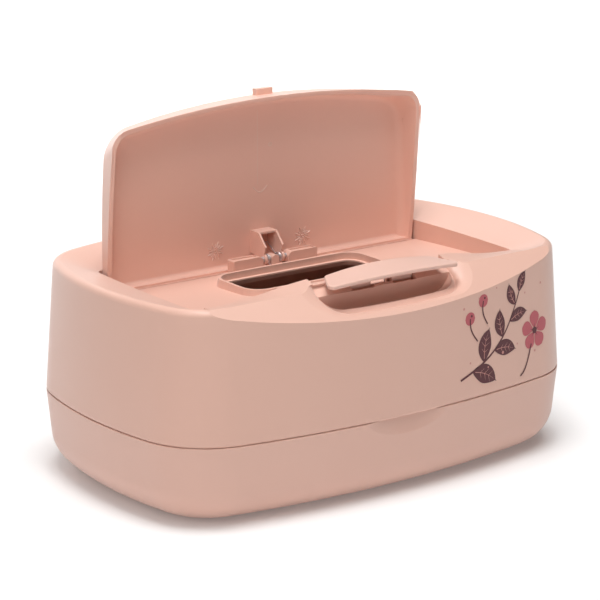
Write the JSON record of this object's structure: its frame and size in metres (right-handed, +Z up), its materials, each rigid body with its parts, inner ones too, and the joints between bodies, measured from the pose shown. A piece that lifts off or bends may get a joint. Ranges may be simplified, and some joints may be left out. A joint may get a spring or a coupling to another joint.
{
  "type": "baby wipes box",
  "caption": "Baby wipes box with a lift-off cover, a spring-hinged flap lid over the dispensing opening and a rocking release button.",
  "frame": {"origin": "middle of the resting face under the pads", "axes": "+X to the right of someone at the button side, +Y from the button to the hinge, +Z up"},
  "size_m": [0.2398, 0.1584, 0.1714],
  "materials": {
    "tub_plastic": "fine satin moulded",
    "cover_plastic": "fine satin moulded",
    "lid_plastic": "fine satin moulded",
    "button_plastic": "fine satin moulded",
    "pin_steel": "drawn wire",
    "spring_steel": "drawn wire",
    "pad_rubber": "soft matt"
  },
  "bodies": {
    "tub": {"base_tub": "tub_plastic", "foot_front_left": "pad_rubber", "foot_front_right": "pad_rubber", "foot_rear_left": "pad_rubber", "foot_rear_right": "pad_rubber"},
    "cover": {"top_cover": "cover_plastic", "hinge_pin": "pin_steel", "button_pin": "pin_steel"},
    "flap": {"lid": "lid_plastic", "lid_spring": "spring_steel"},
    "button": {"release_button": "button_plastic", "button_spring": "spring_steel"}
  },
  "joints": [
    {"name": "cover_lift", "type": "slide", "parent": "tub", "child": "cover", "axis": [0, 0, 1], "range_m": [0, 0.06]},
    {"name": "lid_hinge", "type": "hinge", "parent": "cover", "child": "flap", "pos_m": [0, 0.027, 0.09], "axis": [1, 0, 0], "range_deg": [0, 90], "stiffness_Nm_per_rad": 0.012, "springref_deg": -114.59, "deforming": ["lid_spring"]},
    {"name": "button_rock", "type": "hinge", "parent": "cover", "child": "button", "pos_m": [0, -0.0572, 0.0844], "axis": [1, 0, 0], "range_deg": [0, 6], "stiffness_Nm_per_rad": 0.15, "springref_deg": -5.73, "deforming": ["button_spring"]}
  ]
}
